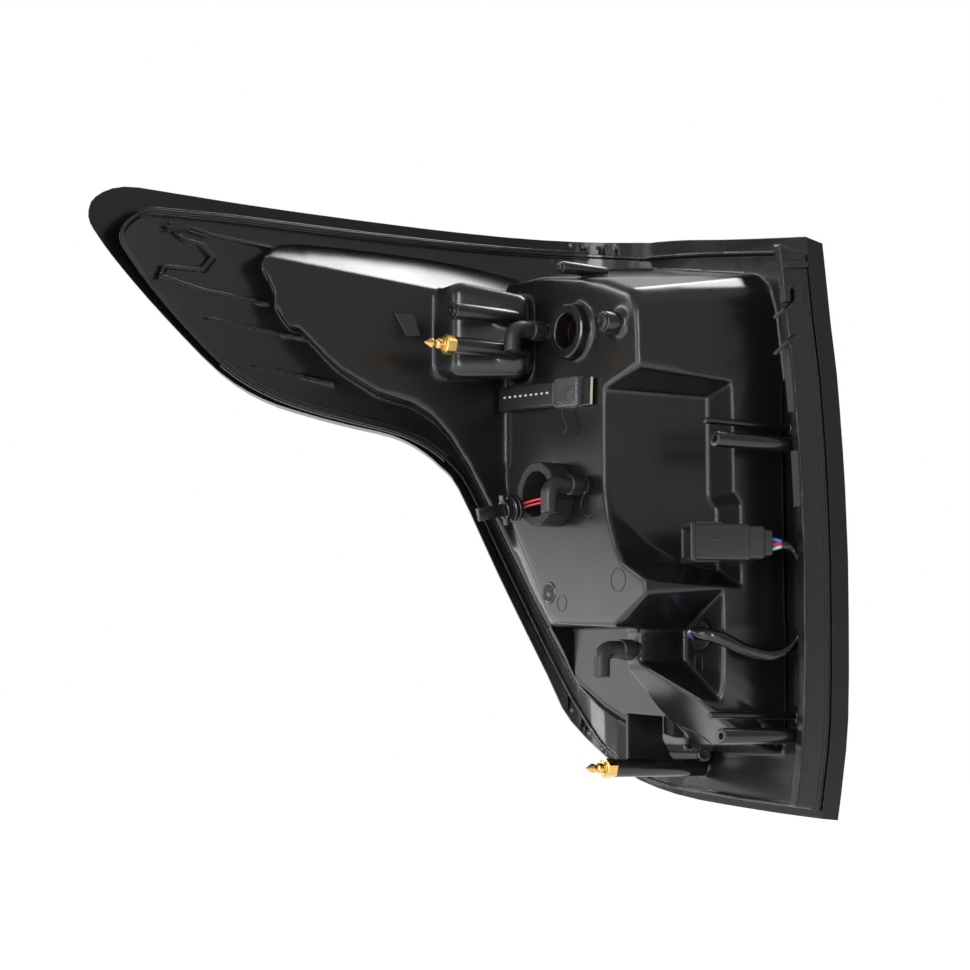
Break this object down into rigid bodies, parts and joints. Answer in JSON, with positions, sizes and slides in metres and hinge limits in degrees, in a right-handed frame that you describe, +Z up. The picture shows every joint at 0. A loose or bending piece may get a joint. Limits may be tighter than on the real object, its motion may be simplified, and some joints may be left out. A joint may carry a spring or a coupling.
{
  "type": "tail light cluster",
  "caption": "Right-hand wrap-around tail light cluster with deep moulded housing, red lens, two ball studs, vent elbows, control module and harness plug",
  "frame": {"origin": "middle of the upper ball stud's land", "axes": "+X to the rear of the car, +Y outboard, +Z up; the studs point along -X"},
  "size_m": [0.3634, 0.2127, 0.3382],
  "materials": {
    "abs_black": "satin moulded",
    "lens_red": "polished, black-out border",
    "seal_rubber": "matt",
    "bezel_black": "gloss",
    "clear_plastic": "clear",
    "board_green": "solder mask",
    "reflector_metal": "vacuum metallised",
    "brass_stud": "turned",
    "elbow_rubber": "satin",
    "foam_grey": "closed-cell foam",
    "holder_black": "gloss",
    "wire_red": "insulation",
    "cable_black": "gloss sleeve",
    "connector_black": "fine texture",
    "terminal_tin": "tinned",
    "wire_blue": "insulation",
    "sleeve_black": "heat-shrink",
    "capacitor_can": "gloss",
    "tie_clear": "nylon",
    "screw_steel": "dark zinc"
  },
  "bodies": {
    "root": {"rear_housing": "abs_black", "outer_lens": "lens_red", "lens_seal": "seal_rubber", "inner_bezel": "bezel_black", "light_guide": "clear_plastic", "led_board": "board_green", "upper_reflector": "reflector_metal", "lower_reflector": "reflector_metal", "upper_ball_stud": "brass_stud", "lower_ball_stud": "brass_stud", "upper_vent_elbow": "elbow_rubber", "middle_vent_elbow": "elbow_rubber", "lower_vent_elbow": "elbow_rubber", "foam_ring": "foam_grey", "bulb_holder": "holder_black", "holder_wire_front": "wire_red", "holder_wire_rear": "wire_red", "harness_cable": "cable_black", "harness_grommet": "elbow_rubber", "connector_shell": "connector_black", "connector_cap": "connector_black", "connector_terminals": "terminal_tin", "connector_wires": "wire_blue", "module_sleeve": "sleeve_black", "module_board": "board_green", "module_wrap": "clear_plastic", "module_capacitor": "capacitor_can", "module_tie": "tie_clear", "foam_strip": "foam_grey", "case_screws": "screw_steel", "socket_bridge": "holder_black"}
  },
  "joints": []
}
